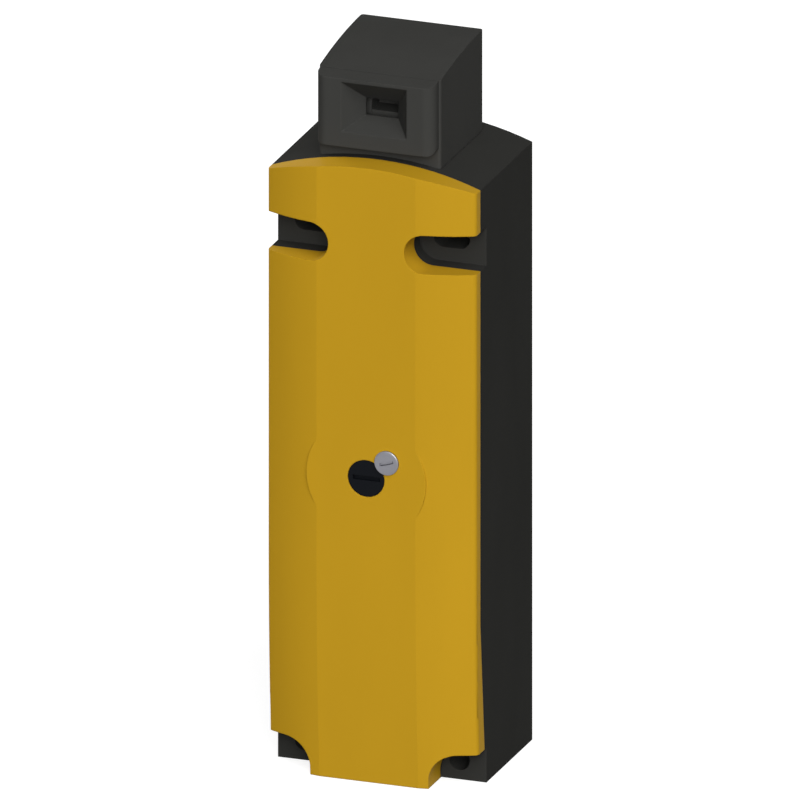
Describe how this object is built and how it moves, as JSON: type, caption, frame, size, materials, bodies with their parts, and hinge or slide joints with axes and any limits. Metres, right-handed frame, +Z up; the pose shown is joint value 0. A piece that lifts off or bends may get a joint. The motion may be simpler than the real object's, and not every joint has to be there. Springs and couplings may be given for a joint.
{
  "type": "tongue interlock switch",
  "caption": "Slim tongue-operated safety interlock switch with a solenoid lock: arched black enclosure, bright front cover, slotted head, auxiliary release and bottom cable entry.",
  "frame": {"origin": "middle of the width and of the depth, on the bottom face with the cable entry", "axes": "+Z up through the head, -Y out of the front cover, +Y into the wall, +X to the right seen from the front"},
  "size_m": [0.054, 0.045, 0.184],
  "materials": {
    "black_plastic": "fine spark texture",
    "yellow_plastic": "fine spark texture, deep yellow",
    "rubber": "matt black",
    "steel_screw": "zinc plated",
    "steel": "plated steel",
    "spring_steel": "drawn wire and strip",
    "dark_nylon": "dark glass-filled nylon",
    "white_nylon": "natural acetal",
    "white_moulding": "off-white moulding",
    "grey_moulding": "grey moulding",
    "red_moulding": "red moulding",
    "brass": "rolled strip and turned",
    "copper": "enamelled copper wire"
  },
  "bodies": {
    "root": {"enclosure": "black_plastic", "cover": "yellow_plastic", "cover_gasket": "rubber", "seal_screw": "steel_screw", "head_housing": "black_plastic", "entry_plate": "black_plastic", "head_gasket": "rubber", "head_screws": "steel_screw", "drum_axle": "steel", "axle_keepers": "dark_nylon", "drum_spacers": "white_nylon", "guide_bush": "brass", "chassis": "grey_moulding", "chassis_screws": "steel_screw", "bar_keeper": "steel", "keeper_screws": "steel_screw", "solenoid_yoke": "steel", "solenoid_screws": "steel_screw", "fixed_core": "steel", "coil_bobbin": "dark_nylon", "coil_winding": "copper", "coil_terminals": "brass", "armature_spring": "spring_steel", "slide_spring": "spring_steel", "release_leaf": "spring_steel", "block_a": "white_moulding", "block_b": "white_moulding", "block_screws": "steel_screw", "contacts_a": "brass", "contacts_b": "brass", "clamps_a": "steel", "clamps_b": "steel", "terminal_screws_a": "steel_screw", "terminal_screws_b": "steel_screw", "carrier_spring_a": "spring_steel", "carrier_spring_b": "spring_steel"},
    "drum": {"drum": "dark_nylon"},
    "slide": {"plunger": "steel", "slide": "white_nylon", "carrier_a": "red_moulding", "bridges_a": "brass", "bridge_springs_a": "spring_steel"},
    "lock_bar": {"lock_bar": "steel", "link_spring": "spring_steel"},
    "monitor": {"carrier_b": "red_moulding", "bridges_b": "brass", "bridge_springs_b": "spring_steel"},
    "armature": {"armature": "steel"},
    "release": {"release_knob": "black_plastic", "release_shaft": "steel", "release_clip": "spring_steel", "release_seal": "rubber"}
  },
  "joints": [
    {"name": "tongue_turn", "type": "hinge", "parent": "root", "child": "drum", "pos_m": [0, 0.0033, 0.168], "axis": [-1, 0, 0], "range_deg": [0, 70.01]},
    {"name": "plunger_slide", "type": "slide", "parent": "root", "child": "slide", "axis": [0, 0, 1], "range_m": [0, 0.0048], "deforming": ["slide_spring", "carrier_spring_a"]},
    {"name": "lock_bar_slide", "type": "slide", "parent": "root", "child": "lock_bar", "axis": [-1, 0, 0], "range_m": [0, 0.004], "deforming": ["link_spring"]},
    {"name": "monitor_slide", "type": "slide", "parent": "root", "child": "monitor", "axis": [0, 0, 1], "range_m": [0, 0.003], "deforming": ["carrier_spring_b"]},
    {"name": "armature_slide", "type": "slide", "parent": "root", "child": "armature", "axis": [1, 0, 0], "range_m": [0, 0.003], "stiffness_N_per_m": 200, "deforming": ["armature_spring"]},
    {"name": "release_turn", "type": "hinge", "parent": "root", "child": "release", "pos_m": [0, -0.0101, 0.0793], "axis": [0, -1, 0], "range_deg": [0, 90], "deforming": ["release_leaf"]}
  ],
  "couplings": [
    {"joint": "tongue_turn", "follows": "plunger_slide", "rad_per_m": 254.53},
    {"joint": "lock_bar_slide", "follows": "plunger_slide", "ratio": 0.83333},
    {"joint": "monitor_slide", "follows": "plunger_slide", "ratio": 0.625}
  ]
}
